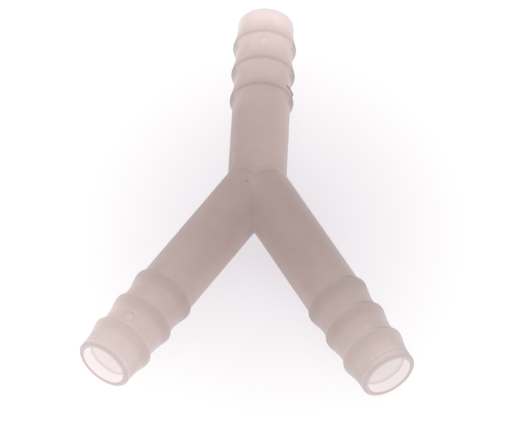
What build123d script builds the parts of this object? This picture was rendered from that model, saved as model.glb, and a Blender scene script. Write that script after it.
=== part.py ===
"""One-piece moulded Y hose splitter: a short inlet leg and two longer branch legs, each ending
in a three-barb hose tail.

Frame: the origin is where the three bore axes cross. +Y runs out along the inlet leg, the branch
legs lie in the XY plane on the -Y side, one towards -X and one towards +X, and +Z is up. The part
lies flat and rests on its barb crests at Z = -BARB_OD / 2. Millimetres and degrees.
"""

from build123d import *
import math
import os

# Diameters
TUBE_OD = 12.0  # plain tube between the junction and the first barb
BARB_OD = 13.25  # over the barb crests, for hose of 12 to 13 mm bore
ROOT_OD = 11.85  # between the barbs
SPIGOT_OD = 11.75  # plain lead-in beyond the last barb
BORE_D = 9.0  # through passage
MOUTH_D = 9.4  # slightly wider end of the passage

# Passage mouth, along the leg
MOUTH_DEPTH = 2.4
MOUTH_TAPER = 0.25  # length of the small cone between mouth and bore
MOUTH_CHAMFER = 0.3  # 45 degree bevel on the inner edge of the end face

# Layout of the legs
BRANCH_ANGLE = 62.0  # between the two branch legs
INLET_FIRST_BARB = 21.93  # junction centre to the innermost crest
BRANCH_FIRST_BARB = 34.38
BARB_PITCH = 7.2
BARB_COUNT = 3
LEAD_IN = 6.87  # last crest to the end face

# Barb profile, along the leg
CREST_LAND = 0.45  # short cylindrical land on each crest
FLANK_RUN = 1.3  # steep side, facing the junction
RAMP_RUN = 3.25  # gentle side, facing the hose

# Corner roundings
FLANK_FOOT_R = 0.9
FLANK_CREST_R = 0.7
RAMP_CREST_R = 0.8
RAMP_FOOT_R = 9.0
LIP_R = 0.55  # outer edge of the end face

# Ejector-pin witness, a shallow flat on the upper side of each tail
PIN_MARK_D = 2.2
PIN_MARK_DEPTH = 0.1
PIN_MARK_PLACE = 1.66  # in barb pitches beyond the innermost crest

# Cutting tools, which only need to reach past the part
PASSAGE_OVERSHOOT = 0.2  # beyond the end face
PIN_TOOL_HEIGHT = 1.5
SECTOR_REACH = 120.0
SECTOR_HALF_HEIGHT = 30.0

# Directions in the XY plane, counter-clockwise from +X
INLET = 90.0
BRANCH_MIDDLE = 270.0
LEFT = BRANCH_MIDDLE - BRANCH_ANGLE / 2
RIGHT = BRANCH_MIDDLE + BRANCH_ANGLE / 2
MITRE_LEFT = (INLET + LEFT) / 2  # between inlet and left branch
MITRE_RIGHT = (RIGHT - 360 + INLET) / 2  # between right branch and inlet

# axis angle, innermost crest, mitre angles on either side
LEGS = [
    (INLET, INLET_FIRST_BARB, MITRE_RIGHT, MITRE_LEFT),
    (LEFT, BRANCH_FIRST_BARB, MITRE_LEFT, BRANCH_MIDDLE),
    (RIGHT, BRANCH_FIRST_BARB, BRANCH_MIDDLE, MITRE_RIGHT + 360),
]


def direction(angle):
    """Unit vector in the XY plane."""
    return Vector(math.cos(math.radians(angle)), math.sin(math.radians(angle)))


def rounded_path(points):
    """Lines through (along, radius, rounding) points, with a tangent arc at each rounded corner."""
    places = [Vector(along, radius) for along, radius, _ in points]
    edges, start = [], places[0]
    for i in range(1, len(points) - 1):
        corner, rounding = places[i], points[i][2]
        if rounding == 0:
            edges.append(Line(start, corner))
            start = corner
            continue
        back, ahead = places[i - 1] - corner, places[i + 1] - corner
        half_angle = math.radians(back.get_angle(ahead)) / 2
        back, ahead = back.normalized(), ahead.normalized()
        setback = rounding / math.tan(half_angle)
        arc_start, arc_end = corner + back * setback, corner + ahead * setback
        inset = rounding / math.sin(half_angle) - rounding
        arc_middle = corner + (back + ahead).normalized() * inset
        edges += [Line(start, arc_start), ThreePointArc(arc_start, arc_middle, arc_end)]
        start = arc_end
    edges.append(Line(start, places[-1]))
    return edges


def tail_points(first_barb, end):
    """Outer outline of a leg from the junction centre to its end face."""
    root = TUBE_OD / 2
    points = [(0, root, 0)]
    for n in range(BARB_COUNT):
        crest = first_barb + n * BARB_PITCH
        land_start, land_end = crest - CREST_LAND / 2, crest + CREST_LAND / 2
        next_root = (SPIGOT_OD if n == BARB_COUNT - 1 else ROOT_OD) / 2
        points += [
            (land_start - FLANK_RUN, root, FLANK_FOOT_R),
            (land_start, BARB_OD / 2, FLANK_CREST_R),
            (land_end, BARB_OD / 2, RAMP_CREST_R),
            (land_end + RAMP_RUN, next_root, RAMP_FOOT_R),
        ]
        root = next_root
    return points + [(end, SPIGOT_OD / 2, LIP_R), (end, MOUTH_D / 2, 0)]


def passage_points(end):
    """Outline of the passage, with its bevel carried on past the end face."""
    bore, mouth = BORE_D / 2, MOUTH_D / 2
    return [
        (0, bore, 0),
        (end - MOUTH_DEPTH - MOUTH_TAPER, bore, 0),
        (end - MOUTH_DEPTH, mouth, 0),
        (end - MOUTH_CHAMFER, mouth, 0),
        (end + PASSAGE_OVERSHOOT, mouth + MOUTH_CHAMFER + PASSAGE_OVERSHOOT, 0),
    ]


def turned(points, angle):
    """Closes an outline down to the axis, turns it about +X and swings it to angle."""
    wire = Wire(rounded_path(points))
    start, stop = wire @ 0, wire @ 1
    closing = [
        Line(stop, (stop.X, 0)),
        Line((stop.X, 0), (start.X, 0)),
        Line((start.X, 0), start),
    ]
    face = make_face(Wire(list(wire.edges()) + closing).edges())
    return Rot(0, 0, angle) * revolve(face, Axis.X)


def leg_sector(angle, low, high):
    """The space between two mitre planes through the Z axis, which holds one leg."""
    ring = [Vector(0, 0)] + [direction(a) * SECTOR_REACH for a in (low, angle, high)]
    face = make_face(Polyline(*ring, close=True).edges())
    return extrude(face, SECTOR_HALF_HEIGHT, both=True)


def pin_mark(angle, first_barb):
    """Cutter for the flat in the root between the two outer barbs, on the upper side."""
    place = direction(angle) * (first_barb + PIN_MARK_PLACE * BARB_PITCH)
    floor = Vector(0, 0, ROOT_OD / 2 - PIN_MARK_DEPTH)
    spot = Plane(origin=place + floor, z_dir=(0, 0, 1))
    return spot * extrude(Circle(PIN_MARK_D / 2), PIN_TOOL_HEIGHT)


def splitter_body():
    shells, passages, marks = [], [], []
    for angle, first_barb, low, high in LEGS:
        end = first_barb + (BARB_COUNT - 1) * BARB_PITCH + LEAD_IN
        sector = leg_sector(angle, low, high)
        shells.append(turned(tail_points(first_barb, end), angle) & sector)
        passages.append(turned(passage_points(end), angle) & sector)
        marks.append(pin_mark(angle, first_barb))

    outside = shells[0] + shells[1] + shells[2]
    inside = passages[0] + passages[1] + passages[2]
    body = outside - inside
    for mark in marks:
        body = body - mark
    body.label = "splitter_body"
    return body


os.makedirs("parts", exist_ok=True)
export_step(splitter_body(), "parts/splitter_body.step")
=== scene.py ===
"""Looks for a moulded Y hose splitter with barbed ends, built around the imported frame.

The three legs lie in the XY plane and their axes meet at the origin: the inlet runs to +Y, the
left and right branches run to -Y, leaning to -X and +X. +Z is the upper side. Shapes and
attributes are worked out in millimetres and scaled to metres when the mesh is made.
"""

import bmesh
import bpy
import itertools
import math
import numpy as np
from mathutils import Matrix, Vector


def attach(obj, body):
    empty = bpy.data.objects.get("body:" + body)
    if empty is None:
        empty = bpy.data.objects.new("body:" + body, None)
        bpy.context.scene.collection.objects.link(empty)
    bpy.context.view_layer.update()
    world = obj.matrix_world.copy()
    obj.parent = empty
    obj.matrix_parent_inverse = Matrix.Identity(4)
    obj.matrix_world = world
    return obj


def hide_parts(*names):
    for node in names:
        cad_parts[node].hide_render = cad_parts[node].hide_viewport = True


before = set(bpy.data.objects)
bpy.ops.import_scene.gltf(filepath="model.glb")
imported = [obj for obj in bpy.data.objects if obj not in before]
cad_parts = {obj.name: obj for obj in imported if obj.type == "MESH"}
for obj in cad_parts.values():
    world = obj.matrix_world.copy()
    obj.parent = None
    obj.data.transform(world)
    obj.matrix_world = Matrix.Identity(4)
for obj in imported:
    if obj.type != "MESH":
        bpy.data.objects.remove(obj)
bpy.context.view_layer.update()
MM = 0.001

# ---- dimensions of the moulding (mm) ---------------------------------------------------------
LEGS = ("inlet", "left", "right")
BRANCH_LEAN = 31.0  # degrees between a branch and -Y
TUBE_R, BARB_R, ROOT_R, SPIGOT_R = 6.0, 6.625, 5.925, 5.875
BORE_R, MOUTH_R, MOUTH_DEPTH, MOUTH_TAPER = 4.5, 4.7, 2.4, 0.25

# Barbs: place of the first crest along each leg, spacing, and length beyond the last crest
BARBS = 3
FIRST_BARB = {"inlet": 21.93, "left": 34.38, "right": 34.38}
PITCH, LEAD = 7.2, 6.87
LAND, FLANK, RAMP = 0.45, 1.3, 3.25  # flat crest, steep inward side, long outward side

# Rounding radii; "in" is towards the junction on the barbs, towards the passage on the lip
CREST_IN_ROUND, CREST_OUT_ROUND, FOOT_IN_ROUND, FOOT_OUT_ROUND = 0.7, 0.8, 0.9, 9.0
LIP_OUT_ROUND, LIP_IN_ROUND, STEP_ROUND, TAPER_ROUND = 0.55, 0.3, 0.05, 0.1
ARC_SEGMENTS, ARC_TURN = 5, 0.2  # fewest segments in an arc, and the radians each may turn

# Ejector-pin marks, placed beyond the first barb in barb pitches
MARK_R, MARK_DEPTH, MARK_PLACE = 1.1, 0.1, 1.66

ANGLE = {"inlet": 90.0, "left": 270.0 - BRANCH_LEAN, "right": 270.0 + BRANCH_LEAN}
UP = np.array([0.0, 0.0, 1.0])
DIRECTION = {
    leg: np.array([math.cos(math.radians(a)), math.sin(math.radians(a)), 0.0])
    for leg, a in ANGLE.items()
}
AXES = np.array([DIRECTION[leg] for leg in LEGS])
LENGTH = {leg: first + (BARBS - 1) * PITCH + LEAD for leg, first in FIRST_BARB.items()}
MARK_CENTRE = {leg: DIRECTION[leg] * (FIRST_BARB[leg] + MARK_PLACE * PITCH) for leg in LEGS}

# Mitre slopes, between the inlet and a branch and between the branches
GENTLE = 1 / math.tan(math.radians((180 - BRANCH_LEAN) / 2))
SHARP = 1 / math.tan(math.radians(BRANCH_LEAN))
# Slope on the two sides of each leg: along (direction x UP), and against it
MITRES = {"inlet": (GENTLE, GENTLE), "left": (GENTLE, SHARP), "right": (SHARP, GENTLE)}
MITRE_REACH = {"inlet": 9.0, "left": 20.0, "right": 20.0}  # where the rings become square

# Ring spacing along a leg
MITRE_ROWS = [0.0, 0.05, 0.1, 0.16, 0.24, 0.34, 0.46, 0.6, 0.78, 1.0, 1.3, 1.7, 2.15]
APPROACH_STEP, PLAIN_STEP, FINE_STEP = 0.62, 0.55, 0.26

# Points round half a ring, in degrees from the top: (start, stop, step). They are closer
# together at the top, where the marks are, and at the parting line.
ANGLE_SPANS = ((0, 14, 1), (14, 52, 2.5), (52, 88, 1.25), (88.25, 93, 0.5), (93, 180, 2.5))


def smooth(x):
    x = np.clip(x, 0.0, 1.0)
    return x * x * (3 - 2 * x)


def rise(value, start, full):
    """Smooth step: 0 at start, 1 at full. It falls with value where full is below start."""
    return smooth((value - start) / (full - start))


def bell(value, centre, width):
    return np.exp(-(((value - centre) / width) ** 2))


# ---- radial outline of a leg -----------------------------------------------------------------
def rounded(corners):
    """Polyline through (along, radius, rounding) corners, with arcs at the rounded ones."""
    places = [np.array(corner[:2], float) for corner in corners]
    path = [places[0]]
    for i in range(1, len(places) - 1):
        here, rounding = places[i], corners[i][2]
        back, ahead = places[i - 1] - here, places[i + 1] - here
        back, ahead = back / np.linalg.norm(back), ahead / np.linalg.norm(ahead)
        half = math.acos(float(np.clip(back @ ahead, -1, 1))) / 2
        if rounding <= 0 or abs(half - math.pi / 2) < 1e-4:
            path.append(here)
            continue
        cut = rounding / math.tan(half)
        middle = back + ahead
        centre = here + middle / np.linalg.norm(middle) * rounding / math.sin(half)
        start, end = (
            math.atan2(*(here + way * cut - centre)[::-1]) for way in (back, ahead)
        )
        turn = (end - start + math.pi) % (2 * math.pi) - math.pi
        segments = max(ARC_SEGMENTS, int(abs(turn) / ARC_TURN) + 1)
        for part in np.linspace(0, 1, segments + 1):
            a = start + turn * part
            path.append(centre + rounding * np.array([math.cos(a), math.sin(a)]))
    path.append(places[-1])
    return path


def outline(leg):
    """Outline from the mitre's reach, over the barbs, round the lip and back in the passage."""
    first, end, reach = FIRST_BARB[leg], LENGTH[leg], MITRE_REACH[leg]
    corners, root_before = [(reach, TUBE_R, 0)], TUBE_R
    for n in range(BARBS):
        crest = first + n * PITCH
        root_after = SPIGOT_R if n == BARBS - 1 else ROOT_R
        corners += [
            (crest - LAND / 2 - FLANK, root_before, FOOT_IN_ROUND),
            (crest - LAND / 2, BARB_R, CREST_IN_ROUND),
            (crest + LAND / 2, BARB_R, CREST_OUT_ROUND),
            (crest + LAND / 2 + RAMP, root_after, FOOT_OUT_ROUND),
        ]
        root_before = root_after
    corners += [
        (end, SPIGOT_R, LIP_OUT_ROUND),
        (end, MOUTH_R, LIP_IN_ROUND),
        (end - MOUTH_DEPTH, MOUTH_R, STEP_ROUND),
        (end - MOUTH_DEPTH - MOUTH_TAPER, BORE_R, TAPER_ROUND),
        (reach, BORE_R, 0),
    ]
    barbs_begin, mouth_begins, passage_below = first - 2.4, end - 3, 5
    path = rounded(corners)
    points = [path[0]]
    for target in path[1:]:
        last = points[-1]
        nearest = min(target[0], last[0])
        in_passage = target[1] < passage_below and nearest < mouth_begins
        step = PLAIN_STEP if nearest < barbs_begin or in_passage else FINE_STEP
        pieces = max(1, int(math.ceil(float(np.linalg.norm(target - last)) / step)))
        points += [last + (target - last) * k / pieces for k in range(1, pieces + 1)]
    return points


# ---- grid of rings on each leg ---------------------------------------------------------------
half_ring = np.concatenate([np.arange(*span) for span in ANGLE_SPANS] + [[180.0]])
RING = np.radians(np.concatenate([half_ring, -half_ring[1:-1][::-1]]))
RING_SIN, RING_COS = np.sin(RING), np.cos(RING)


def leg_rings(leg):
    """Rings as (places along the leg, radius, 1 in the passage), outside first."""
    reach, (plus, minus) = MITRE_REACH[leg], MITRES[leg]
    slope = np.where(RING_SIN >= 0, plus, minus)
    last = MITRE_ROWS[-1]
    n = int(math.ceil((reach - last) / APPROACH_STEP))
    approach = MITRE_ROWS + [last + (reach - last) * k / n for k in range(1, n)]

    def mitred(row, radius):
        return row + slope * np.abs(radius * RING_SIN) * (1 - smooth(row / reach))

    rings = [(mitred(row, TUBE_R), TUBE_R, 0.0) for row in approach]
    for place, radius in outline(leg):
        rings.append((np.full(len(RING), place), radius, 1.0 if radius < 5.2 else 0.0))
    rings += [(mitred(row, BORE_R), BORE_R, 1.0) for row in approach[::-1]]
    return rings


def leg_grids():
    """Points, tags and faces of the three legs. Tags: leg number, along, in passage, angle."""
    points, tags, faces, start, count = [], [], [], 0, len(RING)
    for number, leg in enumerate(LEGS):
        axis = DIRECTION[leg]
        side = np.cross(axis, UP)
        rings = leg_rings(leg)
        for along, radius, inner in rings:
            across = (radius * RING_SIN)[:, None] * side + (radius * RING_COS)[:, None] * UP
            points.append(along[:, None] * axis + across)
            whole = np.ones(count)
            tags.append(np.column_stack([whole * number, along, whole * inner, RING]))
        for j in range(len(rings) - 1):
            low, high = start + j * count, start + (j + 1) * count
            for k in range(count):
                k2 = (k + 1) % count
                faces.append((low + k, low + k2, high + k2, high + k))
        start += len(rings) * count
    return np.vstack(points), np.vstack(tags), faces


def weld(points, tags, faces, zone=11.0, cells_per_mm=2000):
    """Join the legs along the mitres: coincident points within the zone become one."""
    cells = np.round(points * cells_per_mm).astype(np.int64)
    neighbours = list(itertools.product((0, -1, 1), repeat=3))
    taken, kept, new_index = {}, [], []
    for i, (x, y, z) in enumerate(map(tuple, cells)):
        match = None
        if tags[i, 1] < zone:
            around = ((x + dx, y + dy, z + dz) for dx, dy, dz in neighbours)
            match = next((taken[cell] for cell in around if cell in taken), None)
            if match is None:
                taken[(x, y, z)] = len(kept)
        if match is None:
            match = len(kept)
            kept.append(i)
        new_index.append(match)
    joined = []
    for face in faces:
        ring = [new_index[i] for i in face]
        ring = [v for n, v in enumerate(ring) if v != ring[n - 1]]
        if len(set(ring)) >= 3:
            joined.append(tuple(ring))
    return points[kept], tags[kept], joined


# ---- fillets along the mitre creases, by a smooth union of the three tubes -------------------
def union(points, radius, fillet):
    """Signed distance to the tubes' union, blended more where their walls meet steeply."""
    t = np.maximum(points @ AXES.T, 0.0)
    offset = points[:, None, :] - t[:, :, None] * AXES[None, :, :]
    length = np.linalg.norm(offset, axis=2)
    distance = length - radius
    normal = offset / np.maximum(length, 1e-9)[:, :, None]
    blends = []
    for i, j in ((0, 1), (0, 2), (1, 2)):
        k = fillet * (1 - (normal[:, i] * normal[:, j]).sum(1)) + 1e-6
        h = np.maximum(k - np.abs(distance[:, i] - distance[:, j]), 0) / k
        blends.append(np.minimum(distance[:, i], distance[:, j]) - h * h * k * 0.25)
    return np.minimum.reduce(blends)


def settle(points, radius, fillet, passes=5, delta=1e-3, least_slope=0.2):
    """Move the points onto the union's surface by Newton steps."""
    for _ in range(passes):
        distance = union(points, radius, fillet)
        slope = [
            (union(points + e, radius, fillet) - union(points - e, radius, fillet)) / (2 * delta)
            for e in np.eye(3) * delta
        ]
        slope = np.stack(slope, 1)
        steepness = np.maximum((slope * slope).sum(1), least_slope)
        points = points - (distance / steepness)[:, None] * slope
    return points


points, tags, faces = weld(*leg_grids())
passage = tags[:, 2] > 0.5
outside = ~passage
near_junction = tags[:, 1] < 20.0
for part, part_radius, part_fillet in ((outside, TUBE_R, 0.45), (passage, BORE_R, 0.2)):
    chosen = part & near_junction
    points[chosen] = settle(points[chosen], part_radius, part_fillet)

# ---- where each point lies; read by the functions below --------------------------------------
leg_number = tags[:, 0].astype(int)
on_inlet, on_left, on_right = (leg_number == n for n in range(3))
on_branch = ~on_inlet
along, angle = tags[:, 1], tags[:, 3]
degrees, sine = np.degrees(angle), np.sin(angle)
away_sine = np.where(on_left, sine, -sine)  # on a branch, 1 on the side away from the other
own_axis = AXES[leg_number]
axial = np.einsum("ij,ij->i", points, own_axis)
leg_length = np.array([LENGTH[leg] for leg in LEGS])[leg_number]
first_barb = np.array([FIRST_BARB[leg] for leg in LEGS])[leg_number]
to_mouth = leg_length - np.maximum(axial, 0)


def from_axis(places):
    """Distance and unit direction of the places from their own leg's axis."""
    offset = places - np.maximum(axial, 0)[:, None] * own_axis
    distance = np.linalg.norm(offset, axis=1)
    return distance, offset / np.maximum(distance, 1e-9)[:, None]


# ---- moulded details, as shifts of the surface -----------------------------------------------
def parting_and_flow(line_height=0.035, line_width=0.085, wave_height=0.014):
    """Outward shift: the parting line of the mould halves, and slow sink and flow waves."""
    x, y, z = points.T
    wave = (
        np.sin(0.61 * x + 0.37 * y + 1.3) * np.sin(0.53 * z + 0.9)
        + 0.6 * np.sin(0.83 * y - 0.49 * x + 0.4) * np.cos(0.7 * z)
        + 0.4 * np.sin(1.7 * x + 0.8 * z + 2.1) * np.sin(1.3 * y + 0.3)
    )
    shift = line_height * bell(z, 0, line_width) + wave_height * wave
    fade = rise(leg_length - axial, 0.2, 1.0)  # both die out at the lip
    return shift * fade * (outside & (axial < leg_length - 0.3))


def press_marks(places, rim_width=0.5, rim_height=0.035):
    """Ejector-pin marks: shallow round flats with a soft raised rim, on the upper side."""
    for number, leg in enumerate(LEGS):
        centre = MARK_CENTRE[leg]
        distance = np.hypot(places[:, 0] - centre[0], places[:, 1] - centre[1])
        upper = (leg_number == number) & outside & (places[:, 2] > 4.5)
        flat = upper & (distance < MARK_R)
        places[flat, 2] = np.minimum(places[flat, 2], ROOT_R - MARK_DEPTH)
        rim = upper & (distance >= MARK_R) & (distance < MARK_R + rim_width)
        places[rim, 2] += rim_height * bell(distance[rim], MARK_R + 0.15, 0.12)


# A sliver of flash on the inlet's innermost barb: its ends as (along, degrees from the top)
FLASH_START, FLASH_END = (23.8, 57.0), (23.85, 86.5)
FLASH_WIDTH, FLASH_END_WIDTH, MM_PER_DEGREE = 0.25, 0.12, 0.11
FLASH_HEIGHT, FLASH_GROWTH = 0.08, 0.28  # height at the start, and what the end adds


def flash():
    """Strength of the sliver at each point, and its outward shift."""
    span = FLASH_END[1] - FLASH_START[1]
    part = np.clip((degrees - FLASH_START[1]) / span, 0, 1)
    line = FLASH_START[0] + (FLASH_END[0] - FLASH_START[0]) * part
    beyond = np.maximum(np.maximum(FLASH_START[1] - degrees, degrees - FLASH_END[1]), 0)
    patch = on_inlet & outside & (along > 20) & (along < 27) & (angle > 0.7) & (angle < 1.7)
    strength = bell(along, line, FLASH_WIDTH) * bell(beyond * MM_PER_DEGREE, 0, FLASH_END_WIDTH)
    strength = strength * patch
    return strength, strength * (FLASH_HEIGHT + FLASH_GROWTH * smooth(part))


_, push = from_axis(points)
points = points + parting_and_flow()[:, None] * push
press_marks(points)
burr, burr_shift = flash()
points = points + burr_shift[:, None] * push
radius, outward = from_axis(points)


# ---- the mesh --------------------------------------------------------------------------------
def moulding():
    mesh = bpy.data.meshes.new("splitter_moulding")
    mesh.from_pydata((points * MM).tolist(), [], faces)
    mesh.validate()
    mesh.update()
    made = bpy.data.objects.new("splitter_moulding", mesh)
    bpy.context.scene.collection.objects.link(made)
    bm = bmesh.new()
    bm.from_mesh(mesh)
    bmesh.ops.recalc_face_normals(bm, faces=bm.faces)
    if bm.calc_volume(signed=True) < 0:
        bmesh.ops.reverse_faces(bm, faces=bm.faces)
    bm.to_mesh(mesh)
    bm.free()
    mesh.shade_smooth()
    return made


# ---- attributes read by the material ---------------------------------------------------------
# In these functions a number before rise() or bell() is the most that the term adds or takes.
right_half = rise(sine, -0.3, 0.3)  # the +X half of the inlet


def lip_tones():
    """Painted shade on the ring of wall at the open end, and on the two edges of that ring."""
    lip = rise(to_mouth, 0.75, 0.3) * rise(radius, MOUTH_R - 0.25, MOUTH_R + 0.05)
    lip *= np.where(on_branch, 1.0, rise(radius, 5.62, 5.37) * rise(to_mouth, 0.3, 0.1))
    lip *= np.where(on_left, 0.82, 1.0)
    edge = bell(radius, MOUTH_R + 0.1, 0.14) + 0.7 * bell(radius, SPIGOT_R - 0.2, 0.14)
    edge *= rise(to_mouth, 0.6, 0.3) * np.where(on_left, 0.75, 1.0) * on_branch
    return lip, edge


# Painted shade per barb: wide arc's cut on the far side, left flank, left foot, right foot
BARB_TONES = ((0.22, 0.16, 0.055, 0.0), (0.40, 0.10, 0.03, 0.0), (0.40, 0.10, 0.03, 0.06))
RIGHT_FLANK = 0.22


def barb_tones():
    """Painted shade on the barbs, partly light lost in the thick barbs and partly shade on their
    flanks and feet, and where the wall is thick.

    The arc is narrow and dark on the inlet's crests, wider and softer on the branches'.
    """
    barb_shade, thick = np.zeros(len(points)), np.zeros(len(points))
    far_half = rise(away_sine, -0.1, 0.5)
    off_top = rise(np.abs(sine), 0.55, 0.9)
    for n, (wide_cut, left_flank, left_foot, right_foot) in enumerate(BARB_TONES):
        d = axial - (first_barb + n * PITCH)  # beyond the crest
        decay = 0.95 + 0.35 * off_top
        narrow = 0.20 * rise(d, -0.72, -0.22) * np.exp(-np.maximum(d + 0.1, 0) / decay)
        narrow *= 1 - 0.25 * off_top
        wide = 0.095 * rise(d, -0.6, 0.0) * rise(d, 3.2, 1.2)
        wide *= 1 - wide_cut * rise(away_sine, 0.0, 0.35)
        flank = np.where(on_left, left_flank, RIGHT_FLANK) * far_half
        flank *= rise(d, -1.6, -1.1) * rise(d, 0.3, -0.4)
        foot = np.where(on_left, left_foot, right_foot) * far_half
        foot *= rise(d, -3.6, -2.4) * rise(d, -0.6, -1.2)
        on_branches = np.maximum(wide, np.maximum(flank, foot))
        barb_shade = np.maximum(barb_shade, np.where(on_inlet, narrow, on_branches))
        thick = np.maximum(thick, rise(d, -2.0, -1.2) * rise(d, 2.6, 0.4))
    inlet_tail = (0.1 + 0.38 * right_half) * rise(axial, 26, 37)
    thick = np.where(on_inlet, np.maximum(thick, inlet_tail), 0.12 * thick)
    return barb_shade * outside, thick * outside


def edge_tone():
    """How pale (or, below zero, dull) the wall gets towards its outline: a painted rim highlight,
    and below zero painted shade.
    """
    far_side = rise(away_sine, 0.1, 0.5) * on_branch
    tone = 0.07 - 0.15 * on_left * far_side * rise(axial, 33, 28)
    return tone - (0.10 + 0.05 * far_side) * rise(axial, 51.3, 52.5) * on_branch


# Painted shade beside the inlet's bright upper line: (amount, start, full along the leg)
INLET_DIMMING = ((0.04, 10, 0), (0.08, 20, 24), (0.03, 29, 32), (0.05, 35.5, 38.5))


def side_dimming():
    """Painted shade on the wall's flanks beside the bright upper line, on the tails."""
    inlet = sum(amount * rise(axial, start, full) for amount, start, full in INLET_DIMMING)
    inlet = inlet * (0.78 + 0.22 * right_half)
    return np.where(on_inlet, inlet, 0.065 * rise(axial, 49.2, 51.2)) * outside


# Wall thickness and painted light along each leg: (along in mm, brightness factor)
WALL = {
    "inlet": (
        (0, 1.04), (4, 1.06), (10, 1.035), (14, 1.01), (20, 1.005), (24, 1.015),
        (28, 1.04), (31, 1.005), (35, 1.075), (37.5, 1.01), (40.5, 1.105), (43.2, 1.03),
    ),
    "left": (
        (0, 1.04), (8, 1.018), (18, 1.022), (22, 1.052), (31, 1.045), (38, 1.05),
        (45, 1.03), (48, 1.012), (51.5, 1.008), (54, 0.962), (55.6, 0.985),
    ),
    "right": (
        (0, 1.035), (8, 1.005), (18, 1.018), (31, 1.033), (38, 1.02),
        (42, 0.99), (46, 1.0), (51.5, 0.975), (54, 0.925), (55.6, 0.925),
    ),
}


def brightness():
    """Factor on the wall's colour: painted light and shade."""
    x, y, _ = points.T
    # uneven daylight across the piece, and a little across the inlet
    gain = 1.0 + 0.075 * np.tanh((y + 5) / 18) - 0.040 * np.tanh(x / 12)
    across = np.clip(x / TUBE_R, -1, 1)
    gain += np.where(across > 0, 0.085, 0.115) * across * rise(y, -2.5, 1.5) * rise(y, 22, 16)
    # painted shade on the inlet's -X side, near the junction and at the first barb
    junction = 0.10 * rise(-sine, 0.85, 0.99) * rise(axial, 9, 3)
    barb = 0.025 * rise(-sine, 0.4, 0.7) * rise(axial, 19, 22) * rise(axial, 27, 24)
    gain *= 1 - (junction + barb) * on_inlet
    for number, leg in enumerate(LEGS):
        wall = outside & (leg_number == number)
        gain[wall] *= np.interp(axial[wall], *zip(*WALL[leg]))
    # painted light on the far sides of the branches
    far = rise(away_sine, 0.2, 0.8) * rise(axial, 6, 14) * outside
    left_far = (0.03 + 0.035 * rise(axial, 30, 38)) * on_left
    gain *= 1 + (left_far + 0.012 * rise(axial, 36, 30) * on_right) * far
    # painted light and shade on the inlet's tail: lighter right of the top, darker left of it
    tilt = np.sin(np.clip(2 * angle, -math.pi, math.pi))
    gain *= 1 + 0.028 * tilt * rise(axial, 23, 27) * on_inlet * outside
    # daylight through the crotch on the facing sides of the branches
    left_in = 0.11 * bell(degrees, -78, 24) * rise(axial, 11.5, 15.5) * rise(axial, 37, 28)
    right_in = 0.08 * bell(degrees, 76, 16) * rise(axial, 11.5, 14.5) * rise(axial, 36, 32)
    gain *= 1 + (left_in * on_left + right_in * on_right) * outside
    # painted light and shade across the right branch's tail
    gain *= 1 - 0.035 * sine * rise(axial, 42, 46) * on_right * outside
    # painted light and shade inside the mouths
    gain *= 1 - 0.015 * np.tanh((x - 28.3) / 3) * on_right * passage
    gain *= np.where(passage & on_inlet, 0.88, 1.0)
    gain *= 1 - 0.065 * rise(to_mouth, 2.3, 2.7) * on_branch * passage
    return gain


def write_attributes(mesh):
    lip, lip_edge = lip_tones()
    barb_shade, barb = barb_tones()
    step = bell(to_mouth, MOUTH_DEPTH + 0.12, 0.14) * (radius < MOUTH_R + 0.05)
    values = {
        "to_mouth": to_mouth,
        "burr": burr,
        "inner": rise(radius, MOUTH_R + 0.12, MOUTH_R) * passage,
        "step": step,
        "lip": lip,
        "lip_edge": lip_edge,
        "pale_end": rise(to_mouth, 2.4, 0.5) * on_inlet,
        "arcs": on_branch & outside,
        "barb_shade": barb_shade,
        "barb": barb,
        "edge_tone": edge_tone(),
        "side_dim": side_dimming(),
        "gain": brightness(),
    }
    for name, data in values.items():
        attribute = mesh.attributes.new(name, "FLOAT", "POINT")
        attribute.data.foreach_set("value", np.asarray(data, np.float32))
    # direction away from the leg's own axis
    attribute = mesh.attributes.new("outward", "FLOAT_VECTOR", "POINT")
    attribute.data.foreach_set("vector", outward.astype(np.float32).ravel())


# ---- node helpers ----------------------------------------------------------------------------
def srgb(*channels):
    """Linear RGBA from 8-bit sRGB channels."""
    linear = [((c / 255 + 0.055) / 1.055) ** 2.4 if c > 10 else c / 255 / 12.92 for c in channels]
    return (*linear, 1.0)


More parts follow.
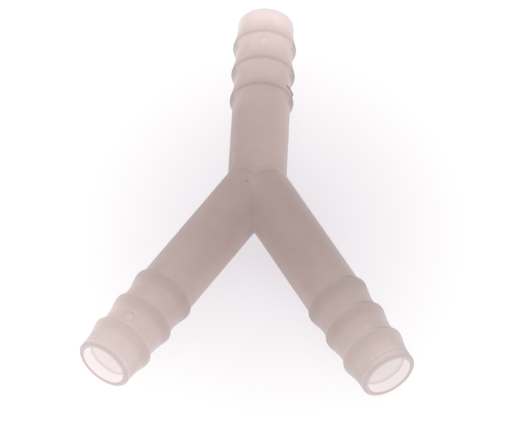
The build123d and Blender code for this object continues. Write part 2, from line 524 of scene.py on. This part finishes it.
class Signal:
    """A node's output. Arithmetic on it adds Math nodes to its tree."""

    def __init__(self, tree, socket):
        self.tree, self.socket = tree, socket

    def math(self, operation, *operands):
        inputs = dict(enumerate(operands))
        return self.tree.node("ShaderNodeMath", inputs, operation=operation)

    def __add__(self, other):
        return self.math("ADD", self, other)

    def __radd__(self, other):
        return self.math("ADD", other, self)

    def __sub__(self, other):
        return self.math("SUBTRACT", self, other)

    def __rsub__(self, other):
        return self.math("SUBTRACT", other, self)

    def __mul__(self, other):
        return self.math("MULTIPLY", self, other)

    def __truediv__(self, other):
        return self.math("DIVIDE", self, other)

    def __abs__(self):
        return self.math("ABSOLUTE", self)

    def remap(self, start, end, low, high, kind="LINEAR"):
        inputs = {0: self, 1: start, 2: end, 3: low, 4: high}
        return self.tree.node("ShaderNodeMapRange", inputs, interpolation_type=kind)

    def rising(self, start, full):
        """The same as rise(), in nodes."""
        return self.remap(start, full, 0.0, 1.0, "SMOOTHSTEP")

    def bell(self, centre, width):
        """The same as bell(), in nodes."""
        q = (self - centre) / width
        return self.math("EXPONENT", q * q * -1.0)

    def vector(self, operation, other, output="Vector"):
        inputs = {0: self, 1: other}
        return self.tree.node("ShaderNodeVectorMath", inputs, output, operation=operation)

    def scaled(self, factor):
        inputs = {0: self, "Scale": factor}
        return self.tree.node("ShaderNodeVectorMath", inputs, operation="SCALE")

    def ramp(self, interpolation, stops):
        """Colour ramp; stops are (position, colour), from 0 to 1."""
        made = self.tree.new("ShaderNodeValToRGB", {0: self})
        made.color_ramp.interpolation = interpolation
        elements = made.color_ramp.elements
        elements[0].color, elements[1].color = stops[0][1], stops[-1][1]
        for position, colour in stops[1:-1]:
            elements.new(position).color = colour
        return Signal(self.tree, made.outputs[0])


class Tree:
    """The emptied node tree of a material or a world."""

    def __init__(self, owner):
        owner.use_nodes = True
        self.tree = owner.node_tree
        self.tree.nodes.clear()

    def new(self, kind, inputs, **properties):
        """Add a node; inputs maps socket names or numbers to values or Signals."""
        made = self.tree.nodes.new(kind)
        for name, value in properties.items():
            setattr(made, name, value)
        for key, value in inputs.items():
            if isinstance(value, Signal):
                self.tree.links.new(value.socket, made.inputs[key])
            else:
                made.inputs[key].default_value = value
        return made

    def node(self, kind, inputs, output=0, **properties):
        return Signal(self, self.new(kind, inputs, **properties).outputs[output])

    def attribute(self, name, output="Fac"):
        return self.node("ShaderNodeAttribute", {}, output, attribute_name=name)

    def noise(self, place, scale, detail, roughness, distortion=0.0):
        inputs = {"Vector": place, "Scale": scale, "Detail": detail}
        inputs |= {"Roughness": roughness, "Distortion": distortion}
        return self.node("ShaderNodeTexNoise", inputs, "Fac")

    def mix(self, amount, a, b, blend="MIX"):
        inputs = {0: amount, 6: a, 7: b}
        return self.node("ShaderNodeMix", inputs, 2, data_type="RGBA", blend_type=blend)


# ---- natural plastic -------------------------------------------------------------------------
# Light piped in from the open ends: colour by distance from the mouth, over a branch's length
PIPED_LIGHT = (
    (0.0, srgb(236, 218, 214)),
    (0.07, srgb(222, 204, 200)),
    (0.20, srgb(206, 187, 183)),
    (0.38, srgb(189, 170, 166)),
    (0.60, srgb(176, 157, 153)),
    (1.0, srgb(168, 149, 145)),
)
# The passages: bright near the opening, dimming with depth
PASSAGE_LIGHT = (
    (0.0, srgb(247, 237, 236)),
    (0.35, srgb(241, 230, 229)),
    (1.0, srgb(176, 157, 154)),
)
PASSAGE_FADE = 22.0  # mm
MARK_RING = {"inlet": 0.055, "left": 0.085, "right": 0.055}  # darkness of the marks' rings
speck_side = np.cross(DIRECTION["left"], UP) * TUBE_R * math.sin(math.radians(-4))
SPECK = DIRECTION["left"] * 4.3 + speck_side + np.array([0, 0, 5.985])


def local_tone(tree, place, patchy):
    """Brightness factor of the marks at particular places on the piece (place in mm), with painted
    light and shade near the junction.
    """
    split = tree.new("ShaderNodeSeparateXYZ", {0: place})
    x, y, z = (Signal(tree, socket) for socket in split.outputs)
    upper = z.rising(-1.0, 1.5)

    # a dark line across the foot of the inlet, dipping in the middle
    line_y = abs(x) * 0.42 + -1.75 - x.bell(-0.2, 0.75) * 0.5
    off_line = y - line_y
    line = off_line.bell(0.0, 0.24) * upper * (0.55 + patchy * 0.45)
    line = line * abs(x).rising(5.9, 4.4)
    line = line * (0.65 + x.rising(-2.5, 0.5) * 0.35)
    # the inlet side of the line is a little lighter
    beyond = off_line.rising(-0.35, 0.45) * (1.0 - off_line.rising(1.0, 12.0))
    lift = beyond * upper * 0.045
    # painted shade in the crease between the branches
    crease = x.bell(-0.65, 0.4) * y.rising(-4.5, -7.0) * upper
    # painted light coming round into the crotch, and on the thin web of wall above it
    web = x.bell(-0.3, 1.2) * y.bell(-4.0, 2.6) * upper
    crotch = x.bell(-1.2, 3.4) * (y.rising(-9.8, -11.5) * y.rising(-19.0, -13.0))
    crotch = crotch * (z.rising(4.6, 2.2) * z.rising(-2.5, -0.5))
    lift = lift + (web * 0.075 + crotch * 0.105)
    tone = 1.0 + lift - line * 0.105 - crease * 0.02

    # ejector-pin marks: a patchy dark ring round a slightly lighter disc
    for leg in LEGS:
        flat = tree.node("ShaderNodeCombineXYZ", {0: x, 1: y})
        centre = (float(MARK_CENTRE[leg][0]), float(MARK_CENTRE[leg][1]), 0.0)
        away = flat.vector("DISTANCE", centre, "Value")
        ring = away.bell(1.14, 0.17) * (0.35 + patchy * 0.65)
        disc = away.rising(MARK_R, 0.8)
        mark = disc * 0.03 - ring * MARK_RING[leg]
        tone = tone + mark * z.rising(3.5, 4.5)

    # fine arcs round the branches' open ends, from the turned mould core
    arcs = tree.attribute("to_mouth").bell(1.15, 0.22) - tree.attribute("to_mouth").bell(1.65, 0.22)
    arcs = arcs + tree.attribute("to_mouth").bell(2.15, 0.22) * 0.8
    return tone + arcs * tree.attribute("arcs") * (patchy * 0.05)


def edge_on(tree, colour):
    """The wall seen edge-on: paler towards the outline, a painted highlight, with dull lines of
    painted shade on the barbs and flanks.
    """
    incoming = tree.node("ShaderNodeNewGeometry", {}, "Incoming")
    outward_dir = tree.attribute("outward", "Vector")
    facing = 1.0 - abs(outward_dir.vector("DOT_PRODUCT", incoming, "Value"))
    pale = facing.rising(0.40, 0.90) * tree.attribute("edge_tone")
    inside = facing.rising(0.26, 0.46) * (1.0 - facing.rising(0.50, 0.66))
    pale = pale + inside * tree.attribute("barb") * 0.05
    dull = facing.rising(0.60, 0.80) * tree.attribute("barb") * 0.20
    dull = dull + facing.rising(0.26, 0.52) * tree.attribute("side_dim")
    rimmed = colour.scaled(1.0 + pale - dull)
    # painted reflection: the edges pick up the cooler paper
    white, cooler = (1.0, 1.0, 1.0, 1.0), (0.965, 1.035, 1.085, 1.0)
    cool = tree.mix(facing.rising(0.45, 0.88), white, cooler)
    return tree.mix(1.0, rimmed, cool, "MULTIPLY")


def ends_and_flaws(tree, colour, place):
    """Colours of the open ends, the passages, the flash and the speck."""
    attribute, mix = tree.attribute, tree.mix
    # painted light on the inlet's open end
    colour = mix(attribute("pale_end") * 0.6, colour, srgb(227, 224, 227))
    # ring of wall at the open end: painted shade, duller and greyer, with darker painted shade at
    # its edges
    colour = mix(attribute("lip") * 0.75, colour, srgb(204, 190, 192))
    colour = mix(attribute("lip_edge") * 0.24, colour, srgb(162, 147, 152))
    # passages, with painted shade at the step behind the mouth
    bore = (attribute("to_mouth") / PASSAGE_FADE).ramp("EASE", PASSAGE_LIGHT)
    bore = mix(attribute("step") * 0.6, bore, srgb(206, 190, 188))
    colour = mix(attribute("inner"), colour, bore.scaled(attribute("gain") * 1.09))
    colour = mix(attribute("burr"), colour, srgb(84, 62, 56))
    # a speck of burnt resin near the junction
    away = place.vector("DISTANCE", [float(c) for c in SPECK], "Value")
    return mix(away.rising(0.3, 0.14) * 0.45, colour, srgb(104, 84, 80))


def milky_surface(tree, colour, grain):
    """Slightly rough plastic, mixed with a glow of painted light."""
    bump = {"Strength": 0.25, "Distance": 0.00002, "Height": grain}
    skin = {
        "Base Color": colour.scaled(0.92),
        "Roughness": grain.remap(0.0, 1.0, low=0.36, high=0.5),
        "IOR": 1.5,
        "Specular IOR Level": 0.3,
        "Subsurface Weight": 0.3,
        "Subsurface Radius": (1.0, 0.8, 0.7),
        "Subsurface Scale": 0.0010,
        "Normal": tree.node("ShaderNodeBump", bump),
    }
    surface = tree.node("ShaderNodeBsdfPrincipled", skin)
    # painted light: light scattered many times inside the milky wall evens out the shading, painted
    # in as a glow; it is strongest in the passages
    glow = tree.node("ShaderNodeEmission", {"Color": colour})
    amount = 0.55 + tree.attribute("inner") * 0.4
    return tree.node("ShaderNodeMixShader", {0: amount, 1: surface, 2: glow})


def plastic():
    material = bpy.data.materials.new("natural_plastic")
    tree = Tree(material)
    coords = tree.node("ShaderNodeTexCoord", {}, "Object")
    colour = (tree.attribute("to_mouth") / LENGTH["left"]).ramp("B_SPLINE", PIPED_LIGHT)

    # cloudy flow unevenness in the resin
    cloud = tree.noise(coords, scale=140.0, detail=4.0, roughness=0.55, distortion=0.6)
    clouding = cloud.remap(0.35, 0.65, low=0.975, high=1.025)
    # fine mottling, stronger towards the open ends
    grain = tree.noise(coords, scale=1500.0, detail=2.0, roughness=0.6)
    fleck = tree.noise(coords, scale=2300.0, detail=1.0, roughness=0.5)
    contrast = tree.attribute("to_mouth").remap(30.0, 14.0, low=0.07, high=0.13)
    mottle = 1.0 + (fleck - 0.5) * contrast

    place = coords.scaled(1000.0)  # millimetres
    tone = local_tone(tree, place, patchy=cloud.rising(0.36, 0.56))
    shade = clouding * (1.0 - tree.attribute("barb_shade")) * tree.attribute("gain")
    colour = edge_on(tree, colour.scaled(shade * mottle * tone))
    colour = ends_and_flaws(tree, colour, place)
    shader = milky_surface(tree, colour, grain)
    tree.new("ShaderNodeOutputMaterial", {"Surface": shader})
    return material


body = moulding()
write_attributes(body.data)
body.data.materials.append(plastic())
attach(body, "root")
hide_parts("splitter_body")

# ---- stage (metres) --------------------------------------------------------------------------
FLOOR_HALF, FLOOR_GAP = 3, 0.00005
# the oval patch is a painted shadow of the piece on the paper
SHADOW_CENTRE, SHADOW_STRETCH = (0.0043, -0.0062, 0.0), (1.0, 0.83, 0.0)  # oval duller patch
SHADOW_START, SHADOW_END = 0.007, 0.048  # from its middle to the full white
SHADOWED_PAPER, WHITE_PAPER = (0.732, 0.689, 0.723, 1), (0.95, 0.95, 0.95, 1)


def floor_material():
    """Matt white paper, lit evenly from behind, with a painted shadow of the piece in the middle.
    """
    material = bpy.data.materials.new("pale_floor")
    tree = Tree(material)
    position = tree.node("ShaderNodeNewGeometry", {}, "Position")
    oval = position.vector("SUBTRACT", SHADOW_CENTRE).vector("MULTIPLY", SHADOW_STRETCH)
    away = tree.node("ShaderNodeVectorMath", {0: oval}, "Value", operation="LENGTH")
    tint = tree.mix(away.remap(SHADOW_START, SHADOW_END, 0.0, 1.0), SHADOWED_PAPER, WHITE_PAPER)
    # the paper lights the piece more strongly than the camera sees it
    seen = tree.node("ShaderNodeLightPath", {}, "Is Camera Ray")
    strength = seen.remap(0.0, 1.0, low=1.45, high=1.0)
    glow = tree.node("ShaderNodeEmission", {"Color": tint, "Strength": strength})
    matt = tree.node("ShaderNodeBsdfDiffuse", {"Color": (0.10, 0.099, 0.10, 1)})
    shader = tree.node("ShaderNodeAddShader", {0: matt, 1: glow})
    tree.new("ShaderNodeOutputMaterial", {"Surface": shader})
    return material


def add_floor():
    mesh = bpy.data.meshes.new("floor")
    corners = [(x * FLOOR_HALF, y * FLOOR_HALF, 0) for x, y in ((-1, -1), (1, -1), (1, 1), (-1, 1))]
    mesh.from_pydata(corners, [], [(0, 1, 2, 3)])
    floor = bpy.data.objects.new("floor", mesh)
    bpy.context.scene.collection.objects.link(floor)
    floor.location = (0, 0, points[:, 2].min() * MM - FLOOR_GAP)
    mesh.materials.append(floor_material())


def add_world():
    world = bpy.data.worlds.new("studio")
    bpy.context.scene.world = world
    tree = Tree(world)
    sky = {"Color": (1.0, 0.99, 0.995, 1), "Strength": 0.95}
    background = tree.node("ShaderNodeBackground", sky)
    tree.new("ShaderNodeOutputWorld", {"Surface": background})


def add_softbox(name, place, target, size, power):
    light = bpy.data.lights.new(name, "AREA")
    light.shape = "RECTANGLE"
    light.size, light.size_y = size
    light.energy = power
    holder = bpy.data.objects.new(name, light)
    bpy.context.scene.collection.objects.link(holder)
    holder.location = place
    aim = Vector(target) - Vector(place)
    holder.rotation_euler = aim.to_track_quat("-Z", "Y").to_euler()


# ---- camera, on the -Y side and above --------------------------------------------------------
CAMERA_PLACE = (0.02619574135, -0.6114802981, 0.7633849484)
CAMERA_AXES = (  # the camera's right, up and backward directions
    (0.9990031984437076, 0.04459185313198977, 0.0020435590271283446),
    (-0.03624955183973553, 0.7836907420042052, 0.6200925663869198),
    (0.02604955835826454, -0.6195485352505914, 0.7845259925446614),
)


def add_camera():
    camera = bpy.data.cameras.new("camera")
    camera.sensor_width = 36.0
    camera.lens = 329.50619996
    camera.shift_x, camera.shift_y = 0.00090558767, -0.00096339114
    camera.clip_start, camera.clip_end = 0.05, 20
    holder = bpy.data.objects.new("camera", camera)
    bpy.context.scene.collection.objects.link(holder)
    pose = Matrix(CAMERA_AXES).transposed().to_4x4()
    pose.translation = CAMERA_PLACE
    holder.matrix_world = pose
    bpy.context.scene.camera = holder


add_floor()
add_world()
add_softbox("top_soft", place=(-0.12, 0.3, 0.8), target=(0, 0, 0), size=(0.7, 0.6), power=1.6)
add_camera()
view = bpy.context.scene.view_settings
view.view_transform = "Standard"
view.look = "None"
view.exposure = 0.0
view.gamma = 1.0
